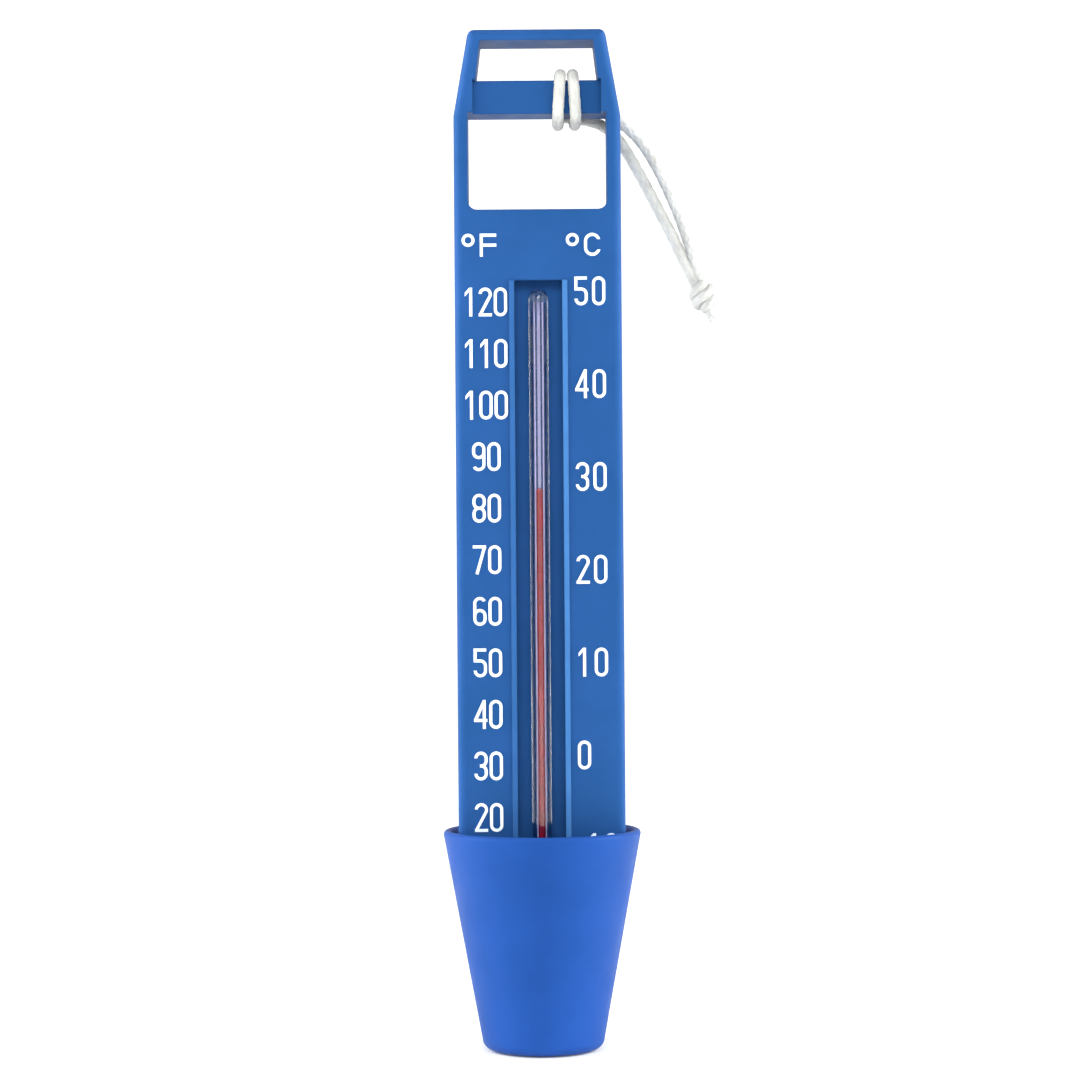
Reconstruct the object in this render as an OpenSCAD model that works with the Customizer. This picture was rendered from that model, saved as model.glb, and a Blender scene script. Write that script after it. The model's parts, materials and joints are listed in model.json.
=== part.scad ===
// Floating pool thermometer: a flat hollow body with a framed handle, a scale channel that holds
// a spirit tube, a round scoop cup at the foot, and a short looped cord on the handle's crossbar.
// Millimetres, +Z up, the scale faces -Y, the origin is the centre of the cup's underside.

/* [Overall] */
// Height from the underside of the cup to the top of the handle
total_h = 175; // [174:1:182]
// Width of the body between its straight sides
body_w = 28.6; // [28.2:0.2:29]
// Depth of the body and the handle, front to back
body_d = 10; // [9.8:0.1:10.4]
// Radius of the body's long front edges
edge_r = 1.4; // [1:0.1:1.6]

/* [Handle] */
// Width of the handle at its top
handle_top_w = 23.4; // [22.6:0.2:25]
// Height over which the handle narrows
taper_h = 14.8; // [13.6:0.2:15.2]
// Radius of the handle's top corners
handle_corner_r = 1.6; // [1.2:0.2:2]
// Height of the bar across the top
top_bar_h = 2; // [1.8:0.1:2.2]
// Height of the upper window
upper_window_h = 6.6; // [6.4:0.1:7]
// Height of the crossbar that carries the cord
crossbar_h = 5.7; // [5.4:0.1:6]
// How far the crossbar lies behind the front face
crossbar_setback = 2.4; // [2:0.2:3.2]
// Height of the lower window
lower_window_h = 16.6; // [16:0.2:17]
// Width of the posts beside the lower window
post_w = 2.4; // [2.2:0.1:2.6]

/* [Scale] */
// Height of the numbers
numeral_h = 4.9; // [4.4:0.1:5]
// Width of one digit
numeral_w = 2.25; // [2.15:0.05:2.35]
// Width of the strokes
stroke = 0.5; // [0.4:0.05:0.6]
// How far the numbers stand out of the face
raised = 0.25; // [0.15:0.05:0.4]
// Length of ten Fahrenheit degrees on the scale
ten_degrees = 8.8; // [8.6:0.1:8.8]
// Temperature that the spirit shows, in Fahrenheit
reading_f = 83.5; // [60:0.5:110]

/* [Tube] */
// Diameter of the glass tube
tube_d = 3.4; // [3.2:0.1:3.6]
// Diameter of the tube's bulb
bulb_d = 4.2; // [4:0.1:4.4]
// Diameter of the tube's bore
bore_d = 0.8; // [0.7:0.05:0.9]

/* [Scoop cup] */
// Height of the cup's rim above its underside
cup_h = 37.8; // [36:0.2:38]
// Diameter of the cup at its rim
cup_rim_d = 34.2; // [34:0.2:36]
// Diameter of the cup at its foot
cup_foot_d = 20.4; // [20.4:0.2:22]
// Thickness of the cup's wall
cup_wall = 1.4; // [1.2:0.1:1.5]

/* [Cord] */
// Diameter of the cord
cord_d = 2; // [1.8:0.1:2]

/* [Hidden] */
$fn = 48;
over = 1;

pool_blue = [0.16, 0.38, 0.72];
deep_blue = [0.13, 0.33, 0.66];
foam_white = [0.93, 0.93, 0.9];
zinc_grey = [0.55, 0.56, 0.58];
clear_glass = [0.85, 0.93, 0.95, 0.35];
enamel_white = [0.97, 0.97, 0.98];
spirit_red = [0.85, 0.14, 0.08];
pad_grey = [0.7, 0.75, 0.8];
mark_white = [0.9, 0.96, 0.98];
cord_white = [0.96, 0.96, 0.94];

// Body and handle
half_w = body_w / 2;
front_y = -body_d / 2;
back_y = body_d / 2;
back_edge_r = 0.8;
top_half_w = handle_top_w / 2;
taper_z = total_h - taper_h;
taper_angle = atan((half_w - top_half_w) / taper_h);
upper_window_top = total_h - top_bar_h;
bar_top = upper_window_top - upper_window_h;
bar_bottom = bar_top - crossbar_h;
window_bottom = bar_bottom - lower_window_h;
window_half_w = half_w - post_w;
window_corner_r = 1.6;
upper_window_half_top = 9.7;
upper_window_half_low = 10.5;
setback_half_w = 11;

// Foot, which narrows inside the cup and stands on its floor
cup_floor = 2;
foot_half_w = 7.1;

// Scale channel and its rails
channel_half_w = 4.1;
channel_floor_y = front_y + 3.7;
channel_low = 4;
channel_top = 132;
rail_w = 0.9;
rail_proud = 0.5;

// Float chamber and rear cover
front_wall = 1.6;
trough_wall = 1.2;
trough_back_y = channel_floor_y + trough_wall;
cover_t = 1.5;
cover_y = back_y - cover_t;
rebate_inset = 1.4;
cavity_inset = 2.4;
cavity_low = 6;
cavity_high = 139;
ledge = 1;
cover_gap = 0.1;
core_gap = 0.3;
core_low = 46;
slug_half_w = 4.8;
slug_h = 22;

// Tube and spirit
tube_r = tube_d / 2;
bulb_r = bulb_d / 2;
bore_r = bore_d / 2;
tube_y = channel_floor_y - bulb_r - 0.1;
tube_top = channel_top - 1.4;
bulb_low = 4.6;
bulb_high = 17;
glass_wall = 0.5;
spirit_gap = 0.05;
column_low = bulb_high - glass_wall - spirit_gap;
head_h = 3;
strip_half_w = 0.75;
strip_t = 0.25;
strip_behind = 0.55;
strip_low = 19;
strip_gap = 0.01;
pad_h = 6;
pad_half_w = 1.45;
upper_pad_low = 118;
clip_low = 22;
clip_h = 7;
pad_fit = 0.02;

// Scale
scale_120_z = channel_top - 3.7;
fahrenheit_pitch = numeral_w + 0.35;
celsius_pitch = numeral_w + 0.75;
bowl_h = (numeral_h + stroke) / 2;
fahrenheit_x = -9.05;
celsius_x = 6.2;
unit_mark_z = 138;
unit_h = 3.9;
unit_w = 2.8;
degree_r = 1.1;
unit_gap = 2;
fahrenheit_mark_x = -11.9;
celsius_mark_x = 5.9;
meniscus_z = fahrenheit_z(reading_f);
bore_top = scale_120_z + 1;

// Cup
cup_rim_r = cup_rim_d / 2;
cup_foot_r = cup_foot_d / 2;
cup_slope = atan((cup_rim_r - cup_foot_r) / cup_h);
cup_corner_r = 2;

// Cord
cord_r = cord_d / 2;
cord_gap = 0.15;
wrap_corner_r = 1.5;
wrap_at = [3.9, 6.3];
bar_front_y = front_y + crossbar_setback;
bight_y = back_y + cord_gap + 3 * cord_r;
bight_z = bar_bottom + 2.9;
cord_sides = 8;
// The knot and the routes are placed for this total height, and rise and fall with the handle
route_h = 175;
knot_at = [28.9, 8.1, 130];
knot_r = 2.6;
knot_half = 1;
knot_tilt = 158;
tail_end = 5.6;
upper_route = [
    [6.3, 6.2, 163], [8.2, 6.4, 162.9], [10, 6.4, 162.6], [11.8, 6.4, 161.9], [13.4, 6.4, 161],
    [15, 6.4, 159.9], [16.5, 6.4, 158.6], [17.9, 6.4, 157.1], [19.2, 6.5, 155.3],
    [20.5, 6.5, 153.1], [21.8, 6.6, 150.6], [23, 6.7, 148], [24.2, 6.8, 145.2],
    [25.3, 6.9, 142.3], [26.3, 7.1, 139.4], [27.2, 7.4, 136.4], [28.1, 7.8, 133.4],
    [28.9, 8.1, 130.6]
];
lower_route = [
    [4.7, 8.1, 161.4], [6.6, 8.1, 161.2], [8.4, 8, 160.9], [10.2, 7.7, 160.4], [11.9, 7.4, 159.5],
    [13.4, 7.1, 158.2], [14.7, 6.9, 156.6], [15.9, 6.9, 154.7], [17.1, 6.9, 152.6],
    [18.3, 6.9, 150.4], [19.5, 6.9, 148.1], [20.8, 6.9, 145.6], [22.2, 7, 142.9],
    [23.6, 7.1, 140.2], [24.9, 7.4, 137.4], [26.2, 7.7, 134.8], [27.4, 8, 132.4],
    [28.5, 8.1, 130.4]
];

// Places on the scale
function fahrenheit_z(value) = scale_120_z - (120 - value) / 10 * ten_degrees;
function celsius_z(value) = fahrenheit_z(32 + 1.8 * value);
function digits(value) = value < 10 ? [value] : concat(digits(floor(value / 10)), [value % 10]);

// Half the body's width at a height
function half_width(z) =
    z > cup_h
    ? half_w
    : foot_half_w + (half_w - foot_half_w) * (z - cup_floor) / (cup_h - cup_floor);

// The radius of the cup's outside at a height
function cup_r(z) = cup_foot_r + (cup_rim_r - cup_foot_r) * z / cup_h;

// A tube swept along a route
function unit(v) = v / norm(v);
function heading(route, i) = unit(route[min(i + 1, len(route) - 1)] - route[max(i - 1, 0)]);
function sweep_ring(route, i, r) =
    let (
        ahead = heading(route, i),
        side = unit(cross(ahead, [0, 1, 0])),
        up = cross(ahead, side)
    )
    [for (k = [0 : cord_sides - 1])
        let (a = 360 * k / cord_sides)
        route[i] + r * cos(a) * side + r * sin(a) * up];

module swept_tube(route, r) {
    last = len(route) - 1;
    ring_points = [for (i = [0 : last]) each sweep_ring(route, i, r)];
    start_cap = [for (k = [0 : cord_sides - 1]) cord_sides - 1 - k];
    end_cap = [for (k = [0 : cord_sides - 1]) last * cord_sides + k];
    walls = [for (i = [0 : last - 1])
        for (k = [0 : cord_sides - 1])
        let (next = (k + 1) % cord_sides)
        [
            i * cord_sides + k,
            i * cord_sides + next,
            (i + 1) * cord_sides + next,
            (i + 1) * cord_sides + k
        ]];
    polyhedron(ring_points, concat([start_cap], walls, [end_cap]), convexity = 6);
}

// An upright outline, drawn in X and Z, as a plate between two depths
module plate(from_y, to_y) {
    translate([0, to_y, 0])
        rotate([90, 0, 0])
        linear_extrude(height = to_y - from_y)
        children();
}

// Both sides of the body, from one height to another, set in by a margin
module body_outline(low, high, inset) {
    right = [
        [half_width(low) - inset, low],
        [half_width(cup_h) - inset, cup_h],
        [half_w - inset, high]
    ];
    left = [for (i = [2 : -1 : 0]) [-right[i][0], right[i][1]]];
    polygon(concat(right, left));
}

module handle_outline() {
    cut = handle_corner_r / tan((90 + taper_angle) / 2);
    side_x = top_half_w + cut * sin(taper_angle);
    side_z = total_h - cut * cos(taper_angle);
    polygon([
        [half_w, window_bottom - 4],
        [half_w, taper_z],
        [side_x, side_z],
        [top_half_w - cut, total_h],
        [cut - top_half_w, total_h],
        [-side_x, side_z],
        [-half_w, taper_z],
        [-half_w, window_bottom - 4]
    ]);
    for (side = [-1, 1])
        translate([side * (top_half_w - cut), total_h - handle_corner_r])
        circle(handle_corner_r);
}

// A cross-section that runs left from x = 0, with its two corners at x = 0 rounded
module edge_section(reach) {
    translate([-reach, front_y])
        square([reach - edge_r, body_d]);
    translate([-reach, front_y + edge_r])
        square([reach - back_edge_r, body_d - edge_r]);
    translate([-reach, front_y + edge_r])
        square([reach, body_d - edge_r - back_edge_r]);
    translate([-edge_r, front_y + edge_r])
        circle(edge_r);
    translate([-back_edge_r, back_y - back_edge_r])
        circle(back_edge_r);
}

// Everything left of the body's right side, edges rounded, leaning in by an angle
module inside_edge(angle) {
    translate([half_w, 0, taper_z])
        rotate([0, -angle, 0])
        linear_extrude(height = 3 * total_h, center = true)
        edge_section(4 * body_w);
}

module below_top() {
    translate([0, 0, total_h])
        rotate([0, -90, 0])
        linear_extrude(height = 3 * body_w, center = true)
        edge_section(2 * total_h);
}

module body_blank() {
    intersection() {
        plate(front_y - over, back_y + over) {
            body_outline(cup_floor, window_bottom, 0);
            handle_outline();
        }
        inside_edge(0);
        inside_edge(taper_angle);
        mirror([1, 0, 0])
            inside_edge(0);
        mirror([1, 0, 0])
            inside_edge(taper_angle);
        below_top();
    }
}

module lower_window() {
    inner_w = window_half_w - window_corner_r;
    translate([-window_half_w, window_bottom + window_corner_r])
        square([2 * window_half_w, lower_window_h - window_corner_r]);
    translate([-inner_w, window_bottom])
        square([2 * inner_w, lower_window_h]);
    for (side = [-1, 1])
        translate([side * inner_w, window_bottom + window_corner_r])
        circle(window_corner_r);
}

module upper_window() {
    polygon([
        [-upper_window_half_low, bar_top],
        [upper_window_half_low, bar_top],
        [upper_window_half_top, upper_window_top],
        [-upper_window_half_top, upper_window_top]
    ]);
}

// A box given by its two corners
module block(low, high) {
    translate(low)
        cube(high - low);
}

module rails() {
    for (side = [0, 1])
        mirror([side, 0, 0])
        block(
            [channel_half_w, front_y - rail_proud, channel_low + 2],
            [channel_half_w + rail_w, front_y + over, channel_top]
        );
}

module trough(margin) {
    block(
        [-channel_half_w - trough_wall - margin, front_y - over, 0],
        [channel_half_w + trough_wall + margin, trough_back_y, channel_top + trough_wall + margin]
    );
}

module float_chamber() {
    difference() {
        plate(front_y + front_wall, cover_y + over)
            body_outline(cavity_low, cavity_high, cavity_inset);
        trough(0);
    }
}

module front_shell() {
    color(pool_blue)
        difference() {
            union() {
                body_blank();
                rails();
            }
            plate(front_y - over, back_y + over)
                lower_window();
            plate(front_y - over, back_y + over)
                upper_window();
            block(
                [-setback_half_w, front_y - over, bar_bottom - over],
                [setback_half_w, bar_front_y, bar_top]
            );
            block(
                [-channel_half_w, front_y - over, channel_low],
                [channel_half_w, channel_floor_y, channel_top]
            );
            float_chamber();
            plate(cover_y, back_y + over)
                body_outline(cavity_low - ledge, cavity_high + ledge, rebate_inset);
        }
}

module rear_cover() {
    low = cavity_low - ledge + cover_gap;
    high = cavity_high + ledge - cover_gap;
    color(deep_blue)
        plate(cover_y, back_y)
        body_outline(low, high, rebate_inset + cover_gap);
}

module float_core() {
    color(foam_white)
        difference() {
            plate(front_y + front_wall, cover_y)
                body_outline(core_low, cavity_high - core_gap, cavity_inset + core_gap);
            trough(core_gap);
        }
}

module ballast_slug() {
    color(zinc_grey)
        block(
            [-slug_half_w, trough_back_y, cavity_low],
            [slug_half_w, cover_y, cavity_low + slug_h]
        );
}

module cup_outside() {
    cut = cup_corner_r / tan((90 + cup_slope) / 2);
    rim_z = cup_h - cup_wall / 2;
    polygon([
        [0, 0],
        [cup_foot_r - cut, 0],
        [cup_foot_r + cut * sin(cup_slope), cut * cos(cup_slope)],
        [cup_r(rim_z), rim_z],
        [cup_r(rim_z) - cup_wall, rim_z],
        [0, rim_z]
    ]);
    translate([cup_foot_r - cut, cup_corner_r])
        intersection() {
            circle(cup_corner_r);
            translate([0, -cup_corner_r])
                square(2 * cup_corner_r);
        }
    translate([cup_r(rim_z) - cup_wall / 2, rim_z])
        circle(cup_wall / 2);
}

module cup_inside() {
    polygon([
        [-over, cup_floor],
        [cup_r(cup_floor) - cup_wall, cup_floor],
        [cup_r(cup_h - cup_wall / 2) - cup_wall, cup_h - cup_wall / 2],
        [-over, cup_h - cup_wall / 2]
    ]);
}

module scoop_cup() {
    color(pool_blue)
        rotate_extrude($fn = 96)
        difference() {
            cup_outside();
            cup_inside();
        }
}

// A round bar with domed ends, standing on the tube's axis
module capsule(low, high, r) {
    translate([0, tube_y, low + r])
        cylinder(h = high - low - 2 * r, r = r);
    for (z = [low + r, high - r])
        translate([0, tube_y, z])
        sphere(r);
}

module strip_space(gap) {
    block(
        [-strip_half_w - gap, tube_y + strip_behind - gap, strip_low - gap],
        [strip_half_w + gap, tube_y + strip_behind + strip_t + gap, scale_120_z + gap]
    );
}

module glass_tube() {
    color(clear_glass)
        difference() {
            union() {
                capsule(bulb_low, bulb_high, bulb_r);
                capsule(bulb_low + glass_wall, tube_top, tube_r);
            }
            capsule(bulb_low + glass_wall, bulb_high - glass_wall, bulb_r - glass_wall);
            capsule(bulb_high - 3 * glass_wall, bore_top, bore_r);
            strip_space(strip_gap);
        }
}

module enamel_strip() {
    color(enamel_white)
        strip_space(0);
}

module spirit_reservoir() {
    inset = glass_wall + spirit_gap;
    color(spirit_red)
        capsule(bulb_low + inset, bulb_high - inset, bulb_r - inset);
}

module spirit_column() {
    color(spirit_red)
        translate([0, tube_y, column_low])
        cylinder(h = meniscus_z - head_h - column_low, r = bore_r - spirit_gap);
}

module spirit_meniscus() {
    color(spirit_red) {
        translate([0, tube_y, meniscus_z - head_h])
            cylinder(h = head_h, r = bore_r - spirit_gap);
        translate([0, tube_y, meniscus_z])
            sphere(bore_r - spirit_gap);
    }
}

module tube_pad() {
    color(pad_grey)
        difference() {
            block(
                [-pad_half_w, tube_y + tube_r / 2, upper_pad_low],
                [pad_half_w, channel_floor_y, upper_pad_low + pad_h]
            );
            translate([0, tube_y, upper_pad_low - over])
                cylinder(h = pad_h + 2 * over, r = tube_r + pad_fit);
        }
}

module tube_clip() {
    color(pad_grey)
        difference() {
            block(
                [-channel_half_w, front_y - rail_proud, clip_low],
                [channel_half_w, channel_floor_y, clip_low + clip_h]
            );
            translate([0, tube_y, clip_low - over])
                cylinder(h = clip_h + 2 * over, r = tube_r + pad_fit);
        }
}

// A round stroke of a glyph, from one angle to another
module arc_stroke(r, from_a, to_a) {
    intersection() {
        difference() {
            circle(r);
            circle(r - stroke);
        }
        polygon(concat(
            [[0, 0]],
            [for (i = [0 : 6])
                let (a = from_a + (to_a - from_a) * i / 6)
                2 * r * [cos(a), sin(a)]]
        ));
    }
}

// A straight stroke between two points
module line_stroke(p, q) {
    along = (q - p) / norm(q - p);
    aside = [-along[1], along[0]] * stroke / 2;
    polygon([p - aside, q - aside, q + aside, p + aside]);
}

module stadium(w, h, r) {
    translate([w / 2, w / 2])
        circle(r);
    translate([w / 2, h - w / 2])
        circle(r);
    translate([w / 2 - r, w / 2])
        square([2 * r, h - w]);
}

// An upright oval stroke, the bowl of most digits
module oval_stroke(w, h) {
    difference() {
        stadium(w, h, w / 2);
        stadium(w, h, w / 2 - stroke);
    }
}

module upper_bowl() {
    translate([0, numeral_h - bowl_h])
        oval_stroke(numeral_w, bowl_h);
}

module glyph_1() {
    post_x = numeral_w / 2 - stroke / 4;
    flag = 0.75;
    polygon([
        [post_x, 0],
        [post_x + stroke, 0],
        [post_x + stroke, numeral_h],
        [post_x, numeral_h],
        [post_x - flag, numeral_h - flag - 0.1],
        [post_x - flag, numeral_h - flag - 0.1 - 1.3 * stroke],
        [post_x, numeral_h - 1.3 * stroke]
    ]);
}

module glyph_2() {
    centre = [numeral_w / 2, numeral_h - numeral_w / 2];
    turn = -32;
    translate(centre)
        arc_stroke(numeral_w / 2, turn, 175);
    line_stroke(
        centre + (numeral_w - stroke) / 2 * [cos(turn + 6), sin(turn + 6)],
        [stroke * 0.55, stroke * 0.6]
    );
    square([numeral_w, stroke]);
}

module glyph_3() {
    difference() {
        union() {
            oval_stroke(numeral_w, bowl_h);
            upper_bowl();
        }
        translate([-over, numeral_w / 2])
            square([over + numeral_w * 0.42, numeral_h - numeral_w]);
    }
}

module glyph_4() {
    post_x = numeral_w * 0.66;
    bar_z = numeral_h * 0.24;
    translate([post_x, 0])
        square([stroke, numeral_h]);
    translate([0, bar_z])
        square([numeral_w, stroke]);
    line_stroke(
        [stroke * 0.45, bar_z + stroke * 0.6],
        [post_x + stroke * 0.4, numeral_h - stroke * 0.5]
    );
}

module glyph_5() {
    bowl = numeral_h * 0.62;
    difference() {
        oval_stroke(numeral_w, bowl);
        translate([-over, numeral_w / 2])
            square([over + numeral_w / 2, bowl]);
    }
    translate([0, bowl - stroke])
        square([numeral_w / 2 + 0.05, stroke]);
    translate([0, bowl - stroke])
        square([stroke, numeral_h - bowl + stroke]);
    translate([0, numeral_h - stroke])
        square([numeral_w * 0.95, stroke]);
}

module glyph_6() {
    oval_stroke(numeral_w, numeral_h * 0.58);
    translate([0, numeral_w / 2])
        square([stroke, numeral_h - numeral_w]);
    translate([numeral_w / 2, numeral_h - numeral_w / 2])
        arc_stroke(numeral_w / 2, 28, 180);
}

module glyph_7() {
    translate([0, numeral_h - stroke])
        square([numeral_w, stroke]);
    line_stroke(
        [numeral_w - stroke / 2, numeral_h - stroke / 2],
        [numeral_w * 0.3, 0]
    );
}

module glyph(digit) {
    if (digit == 0) oval_stroke(numeral_w, numeral_h);
    if (digit == 1) glyph_1();
    if (digit == 2) glyph_2();
    if (digit == 3) glyph_3();
    if (digit == 4) glyph_4();
    if (digit == 5) glyph_5();
    if (digit == 6) glyph_6();
    if (digit == 7) glyph_7();
    if (digit == 8) {
        oval_stroke(numeral_w, bowl_h);
        upper_bowl();
    }
    if (digit == 9)
        translate([numeral_w, numeral_h])
        rotate(180)
        glyph_6();
}

// A whole number, its left edge at x and its middle at a height
module number(value, x, z, pitch) {
    parts = digits(abs(value));
    minus_w = value < 0 ? pitch : 0;
    translate([x, z - numeral_h / 2]) {
        if (value < 0)
            translate([stroke, (numeral_h - stroke) / 2])
            square([numeral_w - 2 * stroke, stroke]);
        for (i = [0 : len(parts) - 1])
            translate([minus_w + i * pitch, 0])
            glyph(parts[i]);
    }
}

function fahrenheit_w(value) = (len(digits(value)) - 1) * fahrenheit_pitch + numeral_w;

module on_face() {
    plate(front_y - raised, front_y)
        children();
}

module fahrenheit_numerals() {
    color(mark_white)
        on_face()
        for (value = [20 : 10 : 120])
        number(
            value,
            fahrenheit_x - fahrenheit_w(value) / 2,
            fahrenheit_z(value),
            fahrenheit_pitch
        );
}

module celsius_numerals() {
    color(mark_white)
        on_face()
        for (value = [-10 : 10 : 50])
        number(
            value,
            value < 0 ? celsius_x - celsius_pitch / 2 : celsius_x,
            celsius_z(value),
            celsius_pitch
        );
}

module degree_ring() {
    translate([0, unit_h - degree_r])
        difference() {
            circle(degree_r);
            circle(degree_r - stroke);
        }
}

module letter_f() {
    square([stroke, unit_h]);
    translate([0, unit_h - stroke])
        square([unit_w, stroke]);
    translate([0, (unit_h - stroke) / 2])
        square([unit_w, stroke]);
}

module letter_c() {
    mouth_h = 1.8;
    difference() {
        oval_stroke(unit_w, unit_h);
        translate([unit_w / 2, (unit_h - mouth_h) / 2])
            square([unit_w, mouth_h]);
    }
}

// A degree ring and a letter, the ring's centre at x
module unit_mark(x) {
    translate([x, unit_mark_z - unit_h / 2]) {
        degree_ring();
        translate([unit_gap, 0])
            children();
    }
}

module unit_marks() {
    color(mark_white)
        on_face() {
            unit_mark(fahrenheit_mark_x)
                letter_f();
            unit_mark(celsius_mark_x)
                letter_c();
        }
}

// One turn of cord round the crossbar
module cord_wrap(x) {
    low_z = bar_bottom - cord_gap - cord_r;
    high_z = bar_top + cord_gap + cord_r;
    low_y = bar_front_y - cord_gap - cord_r;
    high_y = back_y + cord_gap + cord_r;
    tall = high_z - low_z - 2 * wrap_corner_r;
    deep = high_y - low_y - 2 * wrap_corner_r;
    for (y = [low_y, high_y])
        translate([x, y, low_z + wrap_corner_r])
        cylinder(h = tall, r = cord_r);
    for (z = [low_z, high_z])
        translate([x, low_y + wrap_corner_r, z])
        rotate([-90, 0, 0])
        cylinder(h = deep, r = cord_r);
    translate([x, low_y + wrap_corner_r, low_z + wrap_corner_r])
        wrap_corner(180);
    translate([x, high_y - wrap_corner_r, low_z + wrap_corner_r])
        wrap_corner(270);
    translate([x, high_y - wrap_corner_r, high_z - wrap_corner_r])
        wrap_corner(0);
    translate([x, low_y + wrap_corner_r, high_z - wrap_corner_r])
        wrap_corner(90);
}

// A quarter turn of cord in the plane of Y and Z, starting at an angle
module wrap_corner(from_a) {
    rotate([from_a, 0, 0])
        rotate([90, 0, 90])
        rotate_extrude(angle = 90)
        translate([wrap_corner_r, 0])
        circle(cord_r);
}

module cord_hitch() {
    color(cord_white) {
        for (x = wrap_at)
            cord_wrap(x);
        translate([wrap_at[0], bight_y, bight_z])
            rotate([0, 90, 0])
            cylinder(h = wrap_at[1] - wrap_at[0], r = cord_r);
        for (x = wrap_at) {
            translate([x, bight_y, bight_z])
                sphere(cord_r);
            translate([x, back_y + cord_gap + cord_r, bight_z])
                rotate([-90, 0, 0])
                cylinder(h = 2 * cord_r, r = cord_r);
        }
    }
}

module with_handle() {
    translate([0, 0, total_h - route_h])
        children();
}

module cord_strand_upper() {
    color(cord_white)
        with_handle()
        swept_tube(upper_route, cord_r);
}

module cord_strand_lower() {
    color(cord_white)
        with_handle()
        swept_tube(lower_route, cord_r);
}

module cord_knot() {
    color(cord_white)
        with_handle()
        translate(knot_at)
        rotate([0, knot_tilt, 0]) {
            cylinder(h = tail_end, r = cord_r);
            translate([0, 0, -knot_half])
                cylinder(h = 2 * knot_half, r = knot_r);
            for (z = [-knot_half, knot_half])
                translate([0, 0, z])
                sphere(knot_r);
        }
}

front_shell();
rear_cover();
float_core();
ballast_slug();
scoop_cup();
glass_tube();
enamel_strip();
spirit_reservoir();
spirit_column();
spirit_meniscus();
tube_pad();
tube_clip();
fahrenheit_numerals();
celsius_numerals();
unit_marks();
cord_hitch();
cord_strand_upper();
cord_strand_lower();
cord_knot();
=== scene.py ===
"""Looks of the floating pool thermometer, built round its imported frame. Metres, +Z up, the scale faces -Y."""

import json
import math

import bpy
from mathutils import Matrix, Vector


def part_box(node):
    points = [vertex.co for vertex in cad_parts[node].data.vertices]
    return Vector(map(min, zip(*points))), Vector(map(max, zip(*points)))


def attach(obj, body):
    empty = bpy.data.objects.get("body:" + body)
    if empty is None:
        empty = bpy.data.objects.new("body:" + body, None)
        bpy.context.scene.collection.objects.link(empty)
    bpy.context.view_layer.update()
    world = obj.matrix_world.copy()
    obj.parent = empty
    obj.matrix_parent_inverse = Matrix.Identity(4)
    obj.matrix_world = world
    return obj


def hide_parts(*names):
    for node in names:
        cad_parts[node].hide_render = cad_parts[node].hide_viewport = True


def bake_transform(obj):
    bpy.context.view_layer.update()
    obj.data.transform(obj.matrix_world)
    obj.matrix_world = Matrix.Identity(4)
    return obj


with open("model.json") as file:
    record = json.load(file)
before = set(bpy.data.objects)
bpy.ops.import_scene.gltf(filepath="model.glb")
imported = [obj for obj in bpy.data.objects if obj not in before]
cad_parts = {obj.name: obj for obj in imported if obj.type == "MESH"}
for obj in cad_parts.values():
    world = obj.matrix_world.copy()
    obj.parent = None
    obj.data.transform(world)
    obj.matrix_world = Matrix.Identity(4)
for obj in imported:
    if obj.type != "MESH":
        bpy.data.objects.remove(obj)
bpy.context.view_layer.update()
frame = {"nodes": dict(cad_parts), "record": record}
NODES = frame["nodes"]
SLOTS = {s["node"]: s["material_slot"] for s in frame["record"]["subparts"]}
MM = 0.001


# ---- camera ----

# The distance is from the body's front face, and the width is what the camera takes in there
FACE_Y = -0.005
VIEW_DISTANCE = 0.549
VIEW_WIDTH = 0.1844
VIEW_HEIGHT = 0.0876
LEAN = math.radians(0.43)
SENSOR = 36.0


def make_camera():
    data = bpy.data.cameras.new("camera")
    data.sensor_width = SENSOR
    data.lens = SENSOR * VIEW_DISTANCE / VIEW_WIDTH
    data.clip_start = 0.05
    data.clip_end = 20
    camera = bpy.data.objects.new("camera", data)
    bpy.context.scene.collection.objects.link(camera)
    place = Matrix.Translation((0, FACE_Y - VIEW_DISTANCE, VIEW_HEIGHT))
    upright = Matrix.Rotation(math.pi / 2, 4, "X")
    camera.matrix_world = place @ upright @ Matrix.Rotation(-LEAN, 4, "Z")
    bpy.context.scene.camera = camera


# ---- cord: routes in millimetres ----

CORD_D = 2.0 * MM
UPPER_ROUTE = [
    (6.3, 6.2, 163), (8.2, 6.4, 162.9), (10, 6.4, 162.6), (11.8, 6.4, 161.9), (13.4, 6.4, 161),
    (15, 6.4, 159.9), (16.5, 6.4, 158.6), (17.9, 6.4, 157.1), (19.2, 6.5, 155.3),
    (20.5, 6.5, 153.1), (21.8, 6.6, 150.6), (23, 6.7, 148), (24.2, 6.8, 145.2),
    (25.3, 6.9, 142.3), (26.3, 7.1, 139.4), (27.2, 7.4, 136.4), (28.1, 7.8, 133.4),
    (28.9, 8.1, 130.6),
]
LOWER_ROUTE = [
    (4.7, 8.1, 161.4), (6.6, 8.1, 161.2), (8.4, 8, 160.9), (10.2, 7.7, 160.4), (11.9, 7.4, 159.5),
    (13.4, 7.1, 158.2), (14.7, 6.9, 156.6), (15.9, 6.9, 154.7), (17.1, 6.9, 152.6),
    (18.3, 6.9, 150.4), (19.5, 6.9, 148.1), (20.8, 6.9, 145.6), (22.2, 7, 142.9),
    (23.6, 7.1, 140.2), (24.9, 7.4, 137.4), (26.2, 7.7, 134.8), (27.4, 8, 132.4),
    (28.5, 8.1, 130.4),
]
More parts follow.
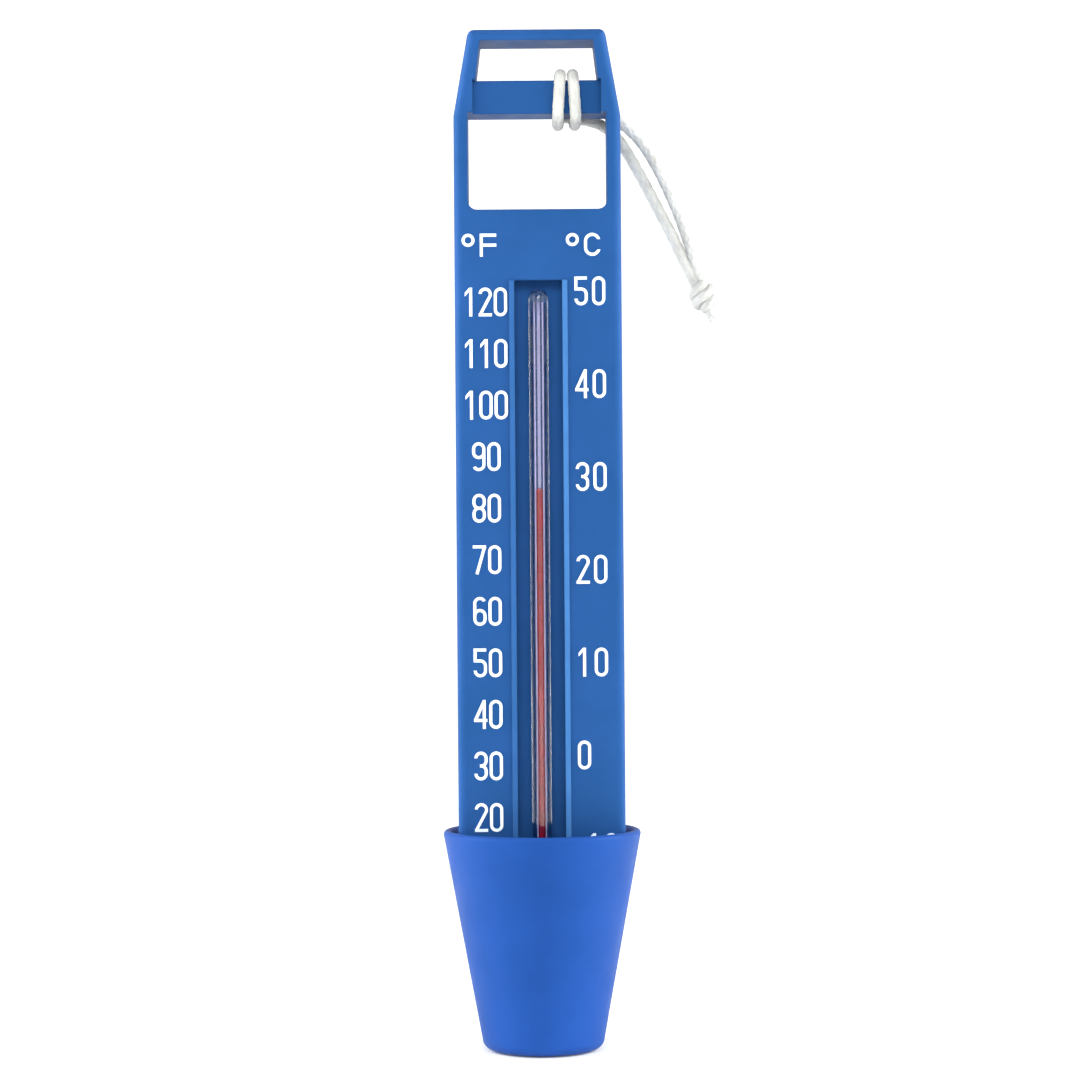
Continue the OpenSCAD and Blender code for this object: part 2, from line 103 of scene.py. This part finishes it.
# Round the crossbar, out over the back as a bight, and round again: a cow hitch
HITCH_ROUTE = [
    (8.0, 6.4, 162.9), (7.2, 6.3, 162.8), (6.6, 6.2, 162.2), (6.4, 6.15, 161.0),
    (6.5, 5.4, 159.8), (6.55, 3.6, 159.5), (6.6, 1.5, 159.5), (6.65, -0.9, 159.5),
    (6.65, -2.9, 159.9), (6.6, -3.75, 161.2), (6.45, -3.8, 163.5), (6.3, -3.75, 165.9),
    (6.2, -2.9, 167.2), (6.2, -0.9, 167.55), (6.25, 1.5, 167.55), (6.3, 3.6, 167.55),
    (6.3, 5.4, 167.25), (6.3, 6.6, 166.2), (6.2, 7.7, 164.9), (5.9, 8.15, 163.9),
    (5.1, 8.15, 163.6), (4.3, 8.15, 163.9), (4.0, 7.7, 164.9), (3.95, 6.6, 166.2),
    (3.95, 5.4, 167.25), (3.95, 3.6, 167.55), (4.0, 1.5, 167.55), (4.05, -0.9, 167.55),
    (4.05, -2.9, 167.2), (3.95, -3.75, 165.9), (3.8, -3.8, 163.5), (3.65, -3.75, 161.2),
    (3.6, -2.9, 159.9), (3.6, -0.9, 159.5), (3.65, 1.5, 159.5), (3.65, 3.6, 159.5),
    (3.65, 5.3, 159.7), (3.75, 6.6, 160.3), (4.0, 7.6, 161.0), (4.7, 8.1, 161.4),
    (5.6, 8.15, 161.3),
]


# ---- helpers for meshes and lines ----

# Sides of every turned form and braided tube
SIDES = 40


def mesh_object(name, vertices, faces):
    mesh = bpy.data.meshes.new(name)
    mesh.from_pydata([tuple(v) for v in vertices], [], faces)
    mesh.validate()
    mesh.shade_smooth()
    piece = bpy.data.objects.new(name, mesh)
    bpy.context.scene.collection.objects.link(piece)
    return piece


def join(pieces, name):
    """One object from several meshes."""
    vertices, faces = [], []
    for piece in pieces:
        base = len(vertices)
        vertices += [v.co.copy() for v in piece.data.vertices]
        faces += [tuple(base + i for i in p.vertices) for p in piece.data.polygons]
        bpy.data.objects.remove(piece)
    return mesh_object(name, vertices, faces)


def dress(piece, body, node):
    """A new piece rides on a body, stands for a CAD node and takes its material slot."""
    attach(piece, body)
    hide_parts(node)
    piece.data.materials.append(MATERIALS[SLOTS[node]])


def smooth_line(points, step):
    """A smooth curve through the points, with a point about every step."""
    ends = [2 * points[0] - points[1], *points, 2 * points[-1] - points[-2]]
    line = []
    for a, b, c, d in zip(ends, ends[1:], ends[2:], ends[3:]):
        count = max(1, round((c - b).length / step))
        for i in range(count):
            t = i / count
            linear = (c - a) * t
            square = (2 * a - 5 * b + 4 * c - d) * t * t
            cube = (3 * b - 3 * c + d - a) * t**3
            line.append(0.5 * (2 * b + linear + square + cube))
    line.append(points[-1].copy())
    return line


def length_of(line):
    return sum((b - a).length for a, b in zip(line, line[1:]))


def frames_along(line):
    """For each point of a line, the two directions across it, turning as little as possible."""
    last = len(line) - 1
    ahead = [(line[min(i + 1, last)] - line[max(i - 1, 0)]).normalized() for i in range(last + 1)]
    side = ahead[0].cross(Vector((0, 1, 0.01))).normalized()
    found = []
    for t in ahead:
        side = (side - t * side.dot(t)).normalized()
        found.append((side, t.cross(side)))
    return found


def turned(profile, centre, inward=False):
    """Vertices and faces of a form turned on an upright axis, from (radius, height) pairs."""
    angles = [2 * math.pi * k / SIDES for k in range(SIDES)]
    vertices = [
        (centre.x + r * math.cos(a), centre.y + r * math.sin(a), z) for r, z in profile for a in angles
    ]
    last = (len(profile) - 1) * SIDES
    faces = [
        (i + k, i + (k + 1) % SIDES, i + SIDES + (k + 1) % SIDES, i + SIDES + k)
        for i in range(0, last, SIDES)
        for k in range(SIDES)
    ]
    faces.append(tuple(reversed(range(SIDES))))
    faces.append(tuple(last + k for k in range(SIDES)))
    return vertices, [tuple(reversed(f)) for f in faces] if inward else faces


# ---- cord: braid, hitch, strands and knot ----

YARNS = 6
BRAID_REPEAT = 2.1 * MM
BRAID_DEPTH = 0.11
BRAID_STEP = 0.16 * MM
KNOT_AT = Vector((28.9, 8.1, 130)) * MM
KNOT_TILT = math.radians(158)
KNOT_AXIS = Vector((math.sin(KNOT_TILT), 0, math.cos(KNOT_TILT)))
KNOT_R = 2.6 * MM
KNOT_LENGTH = 4.2 * MM
KNOT_TURNS = 1.35
KNOT_PHASE = 0.4
STEPS_IN_TURN = 40
KNOT_CORD_D = 1.8 * MM
TAIL_D = 1.7 * MM
TAIL_START = 1.2 * MM
TAIL_REACH = (5.0 * MM, 4.5 * MM)
TAIL_SPREAD = Vector((0, 0.9 * MM, 0))
TAIL_STEP = 0.15 * MM
SEALED_END = 0.8 * MM


def braid_relief(across, along):
    """Height of a round braid's surface, 0 to 1, from the turn round it and the repeats along it."""
    u, v = across + along, across - along
    over_right = (math.floor(u) + math.floor(v)) % 2 == 0
    ridge = u % 1 if over_right else v % 1
    return math.sin(math.pi * ridge) ** 0.6


def braided_tube(name, line, diameter, taper=0.0):
    """A braided cord along a line. A taper draws each end in to a third, over most of that length."""
    radius, depth = diameter / 2, BRAID_DEPTH * diameter
    total = length_of(line)
    vertices, faces, run = [], [], 0.0
    for i, (point, (side, up)) in enumerate(zip(line, frames_along(line))):
        run += (point - line[i - 1]).length if i else 0.0
        close = min(1.0, 0.35 + run / taper, 0.35 + (total - run) / taper) if taper else 1.0
        for k in range(SIDES):
            turn = k / SIDES
            relief = braid_relief(turn * YARNS, run / BRAID_REPEAT)
            r = close * (radius - depth * (1 - relief))
            angle = 2 * math.pi * turn
            vertices.append(point + r * (math.cos(angle) * side + math.sin(angle) * up))
    last = (len(line) - 1) * SIDES
    for i in range(0, last, SIDES):
        for k in range(SIDES):
            n = (k + 1) % SIDES
            faces.append((i + k, i + n, i + SIDES + n, i + SIDES + k))
    faces.append(tuple(reversed(range(SIDES))))
    faces.append(tuple(last + k for k in range(SIDES)))
    return mesh_object(name, vertices, faces)


def knot_line(phase):
    """Cord wound round the knot's axis, drawn in at both ends."""
    side = KNOT_AXIS.cross(Vector((0, 1, 0))).normalized()
    up = KNOT_AXIS.cross(side)
    line, count = [], round(KNOT_TURNS * STEPS_IN_TURN)
    for i in range(count + 1):
        t = i / count
        angle = 2 * math.pi * KNOT_TURNS * t + phase
        r = (KNOT_R - KNOT_CORD_D / 2) * (0.25 + 0.75 * math.sin(math.pi * t) ** 0.4)
        along = (t - 0.5) * KNOT_LENGTH
        across = math.cos(angle) * side + math.sin(angle) * up
        line.append(KNOT_AT + along * KNOT_AXIS + r * across)
    return line


def make_knot():
    """Two strands wound together, with two short ends that the heat has sealed."""
    wound = [
        braided_tube(f"cord_knot_turns_{i}", knot_line(phase), KNOT_CORD_D)
        for i, phase in enumerate((KNOT_PHASE, KNOT_PHASE + math.pi))
    ]
    for i, sign in enumerate((-1, 1)):
        start = KNOT_AT + TAIL_START * KNOT_AXIS + sign * TAIL_SPREAD * 0.5
        end = KNOT_AT + TAIL_REACH[i] * KNOT_AXIS + sign * TAIL_SPREAD
        line = smooth_line([start, (start + end) / 2, end], TAIL_STEP)
        wound.append(braided_tube(f"cord_knot_end_{i}", line, TAIL_D, taper=SEALED_END))
    return join(wound, "cord_knot_braid")


def cord_line(route):
    return smooth_line([Vector(p) * MM for p in route], BRAID_STEP)


def make_cords():
    hitch = braided_tube("cord_hitch_braid", cord_line(HITCH_ROUTE), CORD_D)
    dress(hitch, "cord", "cord_hitch")
    knot = make_knot()
    dress(knot, "cord", "cord_knot")
    for node, route in (("cord_strand_upper", UPPER_ROUTE), ("cord_strand_lower", LOWER_ROUTE)):
        line = cord_line(route)
        strand = braided_tube(node + "_braid", line, CORD_D)
        dress(strand, "cord", node)


# ---- materials ----

# Painted highlight on the rails: how far back from their crests it reaches, the left rail's share of it (less,
# so the right rail looks more lit), and the share of it that is left where the painted highlight is patchy
RAIL_HIGHLIGHT_DEPTH = 0.3 * MM
LEFT_RAIL_HIGHLIGHT_SHARE = 0.35
PATCHY_RAIL_HIGHLIGHT = 0.8


def srgb(r, g, b):
    """A colour given as 0 to 255 screen values, as a shader's linear colour."""
    def linear(c):
        c /= 255
        return c / 12.92 if c <= 0.04045 else ((c + 0.055) / 1.055) ** 2.4
    return (linear(r), linear(g), linear(b), 1)


def grey(value):
    return (value, value, value, 1)


def new_material(name):
    material = bpy.data.materials.new(name)
    material.use_nodes = True
    return material, material.node_tree, material.node_tree.nodes["Principled BSDF"]


def set_values(shader, **values):
    """Constants on the shader's own sockets, with _ for a space in a socket's name."""
    for key, value in values.items():
        shader.inputs[key.replace("_", " ")].default_value = value


def add(tree, kind, **values):
    node = tree.nodes.new(kind)
    for key, value in values.items():
        if key in node.inputs:
            node.inputs[key].default_value = value
        else:
            setattr(node, key, value)
    return node


def noise(tree, scale, detail=3.0, rough=0.5):
    """Noise in the piece's own metres."""
    place = add(tree, "ShaderNodeTexCoord")
    cloud = add(tree, "ShaderNodeTexNoise", Scale=scale, Detail=detail, Roughness=rough)
    tree.links.new(place.outputs["Object"], cloud.inputs["Vector"])
    return cloud.outputs["Fac"]


def cells(tree, scale):
    """Distance from the middle of a cell, in the piece's own metres."""
    place = add(tree, "ShaderNodeTexCoord")
    cell = add(tree, "ShaderNodeTexVoronoi", Scale=scale)
    tree.links.new(place.outputs["Object"], cell.inputs["Vector"])
    return cell.outputs["Distance"]


def vary(tree, source, target, low, high, span=(0.3, 0.7)):
    """A colour or a grey that goes from low to high over a span of the source."""
    node = add(tree, "ShaderNodeValToRGB")
    for stop, position, colour in zip(node.color_ramp.elements, span, (low, high)):
        stop.position, stop.color = position, colour
    tree.links.new(source, node.inputs["Fac"])
    tree.links.new(node.outputs["Color"], target)


def bump(tree, shader, height, strength, distance, edge=0.0):
    """A fine relief. edge is the radius to which sharp edges are shaded round."""
    node = add(tree, "ShaderNodeBump", Strength=strength, Distance=distance)
    tree.links.new(height, node.inputs["Height"])
    if edge:
        soft = add(tree, "ShaderNodeBevel", samples=6, Radius=edge)
        tree.links.new(soft.outputs["Normal"], node.inputs["Normal"])
    tree.links.new(node.outputs["Normal"], shader.inputs["Normal"])


def between(tree, source, start, end, low=0.0, high=1.0):
    """A value that goes from low to high as the source goes from start to end."""
    node = add(tree, "ShaderNodeMapRange")
    for name, value in (("From Min", start), ("From Max", end), ("To Min", low), ("To Max", high)):
        node.inputs[name].default_value = value
    tree.links.new(source, node.inputs["Value"])
    return node.outputs["Result"]


def product(tree, first, second):
    node = add(tree, "ShaderNodeMath", operation="MULTIPLY")
    tree.links.new(first, node.inputs[0])
    tree.links.new(second, node.inputs[1])
    return node.outputs["Value"]


def paint_rail_highlight(tree, target, rail_highlight_colour):
    """Paint a highlight on the rails, the foremost part of the shell: the colour that reaches a socket turns
    paler there, less so on the left rail.
    """
    crest_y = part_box("front_shell")[0].y
    place = add(tree, "ShaderNodeTexCoord")
    parts = add(tree, "ShaderNodeSeparateXYZ")
    tree.links.new(place.outputs["Object"], parts.inputs["Vector"])
    crest = between(tree, parts.outputs["Y"], crest_y + RAIL_HIGHLIGHT_DEPTH, crest_y + RAIL_HIGHLIGHT_DEPTH / 3)
    side = between(tree, parts.outputs["X"], -MM, MM, LEFT_RAIL_HIGHLIGHT_SHARE, 1.0)
    patchy = between(tree, noise(tree, 250), 0.3, 0.7, PATCHY_RAIL_HIGHLIGHT, 1.0)
    mix = add(tree, "ShaderNodeMixRGB", Color2=rail_highlight_colour)
    tree.links.new(product(tree, product(tree, crest, side), patchy), mix.inputs["Fac"])
    tree.links.new(target.links[0].from_socket, mix.inputs["Color1"])
    tree.links.new(mix.outputs["Color"], target)


def moulded_plastic(name, low, high, rail_highlight_colour=None):
    """Moulded plastic: slow drifts of colour, a fine skin, uneven gloss, soft edges."""
    material, tree, shader = new_material(name)
    vary(tree, noise(tree, 45, 4, 0.6), shader.inputs["Base Color"], low, high)
    # A painted highlight on the rails' crests, when a colour is given for it
    if rail_highlight_colour:
        paint_rail_highlight(tree, shader.inputs["Base Color"], rail_highlight_colour)
    gloss = noise(tree, 160, 3, 0.55)
    vary(tree, gloss, shader.inputs["Roughness"], grey(0.48), grey(0.6), (0.3, 0.75))
    bump(tree, shader, noise(tree, 2600, 2, 0.5), 0.1, 0.04 * MM, edge=0.4 * MM)
    set_values(shader, IOR=1.49, Specular_IOR_Level=0.16, Specular_Tint=srgb(120, 170, 255))
    return material


def foam(name):
    """Closed-cell foam: fine cells, slightly darker in their middles."""
    material, tree, shader = new_material(name)
    low, high = srgb(214, 212, 204), srgb(240, 239, 233)
    vary(tree, cells(tree, 1400.0), shader.inputs["Base Color"], low, high, (0.0, 0.6))
    bump(tree, shader, cells(tree, 1400.0), 0.6, 0.3 * MM)
    set_values(shader, Roughness=0.85)
    return material


def plated_metal(name):
    """Plated steel: a mottled grey, brighter and duller in patches."""
    material, tree, shader = new_material(name)
    low, high = srgb(150, 152, 156), srgb(186, 188, 192)
    vary(tree, noise(tree, 500, 5, 0.6), shader.inputs["Base Color"], low, high)
    vary(tree, noise(tree, 900), shader.inputs["Roughness"], grey(0.3), grey(0.5))
    set_values(shader, Metallic=1.0)
    return material


def clear_glass(name):
    """Drawn glass with a trace of blue-green."""
    material, tree, shader = new_material(name)
    low, high = (0.93, 0.97, 0.98, 1), (0.97, 0.99, 1, 1)
    vary(tree, noise(tree, 80, 2), shader.inputs["Base Color"], low, high)
    set_values(shader, Roughness=0.015, IOR=1.47, Transmission_Weight=1.0)
    return material


def enamel(name):
    """Fired enamel, white with a lilac cast."""
    material, tree, shader = new_material(name)
    low, high = srgb(196, 182, 236), srgb(214, 202, 246)
    vary(tree, noise(tree, 220), shader.inputs["Base Color"], low, high)
    set_values(shader, Roughness=0.25)
    return material


def spirit(name):
    """Spirit dyed crimson, with a clear surface."""
    material, tree, shader = new_material(name)
    low, high = srgb(140, 8, 22), srgb(170, 16, 30)
    vary(tree, noise(tree, 300, 2), shader.inputs["Base Color"], low, high)
    set_values(shader, Roughness=0.12, Coat_Weight=0.4)
    return material


def soft_pad(name):
    """Soft rubber that lets a little light in."""
    material, tree, shader = new_material(name)
    low, high = srgb(28, 72, 128), srgb(36, 82, 140)
    vary(tree, noise(tree, 400), shader.inputs["Base Color"], low, high)
    set_values(shader, Roughness=0.55, Subsurface_Weight=0.15, Subsurface_Scale=1.0 * MM)
    return material


def ink(name):
    """Raised pale ink: slightly thin in places, with an orange-peel skin."""
    material, tree, shader = new_material(name)
    low, high = srgb(206, 226, 236), srgb(240, 250, 252)
    vary(tree, noise(tree, 700, 4, 0.6), shader.inputs["Base Color"], low, high, (0.25, 0.6))
    bump(tree, shader, noise(tree, 3000, 2), 0.15, 0.03 * MM)
    set_values(shader, Roughness=0.5)
    return material


def nylon(name):
    """White braided nylon: fine filaments with a soft sheen, and a few greyer patches."""
    material, tree, shader = new_material(name)
    low, high = srgb(164, 165, 160), srgb(192, 193, 188)
    vary(tree, noise(tree, 260, 4, 0.6), shader.inputs["Base Color"], low, high, (0.25, 0.65))
    bump(tree, shader, noise(tree, 9000, 3, 0.7), 0.4, 0.06 * MM)
    set_values(shader, Roughness=0.7, Sheen_Weight=0.35, Sheen_Roughness=0.5)
    return material


MATERIALS = {
    # The shell's rails get a painted highlight, paler than the body and strongest on the right rail
    "shell": moulded_plastic(
        "pool_blue_body", srgb(28, 70, 121), srgb(36, 77, 134), rail_highlight_colour=srgb(63, 112, 168)
    ),
    "cup": moulded_plastic("pool_blue_cup", srgb(26, 64, 129), srgb(31, 71, 144)),
    "foam": foam("closed_cell_foam"),
    "ballast": plated_metal("plated_ballast"),
    "glass": clear_glass("clear_glass"),
    "enamel": enamel("fired_enamel"),
    "spirit": spirit("red_spirit"),
    "pad": soft_pad("soft_pad"),
    "marking": ink("raised_ink"),
    "cord": nylon("braided_nylon"),
}


def dress_cad():
    """Every carried-over CAD node gets its slot's material."""
    for node, slot in SLOTS.items():
        NODES[node].data.materials.clear()
        NODES[node].data.materials.append(MATERIALS[slot])


# ---- glass tube, spirit and enamel strip ----

# The bore and the spirit are both wider than the CAD's spirit, the spirit slightly more, so that no
# gap shows between them
BORE_EXTRA = 0.05 * MM
WETTING = 0.06 * MM
STEM_TO_BULB = 0.81
STRIP_HALF_W = 0.47 * MM


def curve_profile(points, step):
    """(radius, height) pairs on a smooth line through the points."""
    return [(p.x, p.z) for p in smooth_line([Vector((r, 0, z)) for r, z in points], step)]


def dome(radius, height, up=True, steps=10):
    """Half of a turned ball's profile, from its widest to its tip, or from its tip to its widest."""
    turns = [math.pi / 2 * i / steps for i in range(steps)]
    if up:
        return [(radius * math.cos(a), height + radius * math.sin(a)) for a in turns]
    return [(radius * math.cos(a), height - radius * math.sin(a)) for a in reversed(turns)]


def straight(radius, low, high, count):
    """A turned form's straight side, in a number of equal steps."""
    return [(radius, low + (high - low) * i / count) for i in range(count + 1)]


def radius_of(node):
    low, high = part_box(node)
    return (high.x - low.x) / 2


def axis_of(node):
    low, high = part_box(node)
    return (low + high) / 2


def make_glass():
    """A bulb drawn out into a thick stem with a fine bore, closed by a rounded tip."""
    low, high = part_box("glass_tube")
    bulb_r = radius_of("glass_tube")
    stem_r = STEM_TO_BULB * bulb_r
    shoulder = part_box("spirit_reservoir")[1].z
    neck = [
        (bulb_r, shoulder - 2.4 * MM),
        (bulb_r * 0.97, shoulder - 1.4 * MM),
        (bulb_r * 0.88, shoulder - 0.5 * MM),
        (stem_r * 1.01, shoulder + 0.5 * MM),
        (stem_r, shoulder + 1.4 * MM),
    ]
    outside = (
        dome(bulb_r, low.z + bulb_r, up=False)
        + straight(bulb_r, low.z + bulb_r, shoulder - 2.6 * MM, 6)
        + curve_profile(neck, 0.25 * MM)
        + straight(stem_r, shoulder + 1.6 * MM, high.z - stem_r, 60)[:-1]
        + dome(stem_r, high.z - stem_r)
    )
    bore_r = radius_of("spirit_column") + BORE_EXTRA
    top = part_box("enamel_strip")[1].z + 0.6 * MM
    bore = straight(bore_r, shoulder - 0.8 * MM, top, 60)[:-1] + dome(bore_r, top)
    vertices, faces = turned(outside, axis_of("glass_tube"))
    inner, inner_faces = turned(bore, axis_of("glass_tube"), inward=True)
    faces += [tuple(i + len(vertices) for i in f) for f in inner_faces]
    dress(mesh_object("glass_stem", vertices + inner, faces), "case", "glass_tube")


def make_thread():
    """The thread up to the spirit's top, with a tongue on it that reaches into the head."""
    low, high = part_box("spirit_column")
    centre = axis_of("spirit_column")
    radius = radius_of("spirit_column") + WETTING
    sides = straight(radius, low.z - 1.0 * MM, high.z - 0.1 * MM, 80)
    sides.append((radius, high.z - 0.02 * MM))
    tongue = straight(0.8 * radius, high.z + 0.02 * MM, high.z + 0.2 * MM, 1)
    thread = mesh_object("spirit_thread", *turned(sides + tongue, centre))
    thread.data.materials.append(MATERIALS["spirit"])
    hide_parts("spirit_column")
    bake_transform(thread)


def make_head():
    """The domed top of the thread, which slides."""
    low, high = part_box("spirit_meniscus")
    radius = radius_of("spirit_column") + WETTING
    top = high.z - radius
    head = [(radius, low.z)] + straight(radius, low.z + 0.08 * MM, top, 8)[:-1] + dome(radius, top)
    piece = mesh_object("spirit_head", *turned(head, axis_of("spirit_column")))
    dress(piece, "spirit_top", "spirit_meniscus")


def make_pool():
    """The spirit in the bulb, which narrows into the thread."""
    low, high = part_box("spirit_reservoir")
    pool_r = radius_of("spirit_reservoir") + WETTING
    neck = [
        (pool_r, high.z - 2.2 * MM),
        (pool_r * 0.9, high.z - 1.2 * MM),
        (pool_r * 0.55, high.z - 0.5 * MM),
        (radius_of("spirit_column") + WETTING, high.z),
    ]
    pool = (
        dome(pool_r, low.z + pool_r, up=False)
        + straight(pool_r, low.z + pool_r, high.z - 2.2 * MM, 6)[:-1]
        + curve_profile(neck, 0.2 * MM)
    )
    piece = mesh_object("spirit_pool", *turned(pool, axis_of("spirit_column")))
    dress(piece, "case", "spirit_reservoir")


def make_strip():
    """The fired strip, a thin bar with rounded long edges, fused into the glass."""
    low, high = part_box("enamel_strip")
    centre, half_t = (low + high) / 2, (high.y - low.y) / 2
    count, levels = 16, 40
    ring = []
    for a in range(count):
        angle = 2 * math.pi * (a + 0.5) / count
        across, along = math.cos(angle), math.sin(angle)
        x = math.copysign(abs(across) ** 0.35, across) * STRIP_HALF_W
        y = math.copysign(abs(along) ** 0.6, along) * half_t
        ring.append((centre.x + x, centre.y + y))
    heights = [low.z + (high.z - low.z) * i / levels for i in range(levels + 1)]
    vertices = [(x, y, z) for z in heights for x, y in ring]
    faces = [
        (i + k, i + (k + 1) % count, i + count + (k + 1) % count, i + count + k)
        for i in range(0, levels * count, count)
        for k in range(count)
    ]
    faces.append(tuple(reversed(range(count))))
    faces.append(tuple(levels * count + k for k in range(count)))
    dress(mesh_object("enamel_backing", vertices, faces), "case", "enamel_strip")


# ---- stage ----

FLOOR_R = 1.9
SWEEP_R = 0.7
WALL_TOP = 1.5
FLOOR_STEPS = 12
# Just below the cup, so that the two never share a plane
FLOOR_Z = -0.2 * MM
# The floor's own glow, from GLOW_NEAR to GLOW_FAR metres away from the part
GLOW_NEAR, GLOW_FAR = 0.2, 0.9
FAINT_GLOW, FULL_GLOW = 0.03, 0.37


def make_stage():
    """A plain pale floor that sweeps up into a round wall."""
    steps = range(1, FLOOR_STEPS + 1)
    profile = [(0.001, 0)] + [(FLOOR_R * i / FLOOR_STEPS, 0) for i in steps]
    for i in steps:
        a = math.pi / 2 * i / FLOOR_STEPS
        profile.append((FLOOR_R + SWEEP_R * math.sin(a), SWEEP_R - SWEEP_R * math.cos(a)))
    profile.append((FLOOR_R + SWEEP_R, WALL_TOP))
    vertices, faces = turned(profile, Vector((0, 0, 0)), inward=True)
    floor = mesh_object("studio_sweep", vertices, faces[:-2])
    floor.location.z = FLOOR_Z
    floor.data.materials.append(studio_white())


def studio_white():
    """Matt white, lit a little from within and more so towards the wall, so it stays white."""
    material, tree, shader = new_material("studio_white")
    vary(tree, noise(tree, 3, 2), shader.inputs["Base Color"], grey(0.93), grey(0.95))
    set_values(shader, Roughness=0.9, Specular_IOR_Level=0.1, Emission_Color=grey(1))
    place = add(tree, "ShaderNodeTexCoord")
    away = add(tree, "ShaderNodeVectorMath", operation="LENGTH")
    tree.links.new(place.outputs["Object"], away.inputs[0])
    glow = between(tree, away.outputs["Value"], GLOW_NEAR, GLOW_FAR, FAINT_GLOW, FULL_GLOW)
    tree.links.new(glow, shader.inputs["Emission Strength"])
    return material


# ---- light ----

SKY = 0.36


def area_light(name, place, size, power):
    """A rectangular light that faces the middle of the part."""
    data = bpy.data.lights.new(name, "AREA")
    data.shape = "RECTANGLE"
    data.size, data.size_y = size
    data.energy = power
    light = bpy.data.objects.new(name, data)
    bpy.context.scene.collection.objects.link(light)
    light.location = place
    towards = Vector((0, 0, VIEW_HEIGHT)) - Vector(place)
    light.rotation_euler = towards.to_track_quat("-Z", "Y").to_euler()


def make_light():
    """Soft light from all round, and a narrow light on each side for the long edges."""
    world = bpy.data.worlds.new("studio")
    bpy.context.scene.world = world
    world.use_nodes = True
    sky = world.node_tree.nodes["Background"]
    sky.inputs["Color"].default_value = grey(1)
    sky.inputs["Strength"].default_value = SKY
    for name, side in (("left", -1), ("right", 1)):
        area_light(name + "_box", (0.8 * side, -0.78, 0.3), (0.5, 0.8), 1.3)
        area_light(name + "_rim", (0.7 * side, -0.03, 0.22), (0.16, 0.7), 9.0)
    area_light("front_box", (0, -1.25, 0.6), (0.7, 0.4), 10.0)
    area_light("top_box", (0, 0.0, 1.0), (0.6, 0.6), 1.1)
    bpy.context.scene.view_settings.view_transform = "Standard"


make_camera()
dress_cad()
make_cords()
make_glass()
make_thread()
make_head()
make_pool()
make_strip()
make_stage()
make_light()
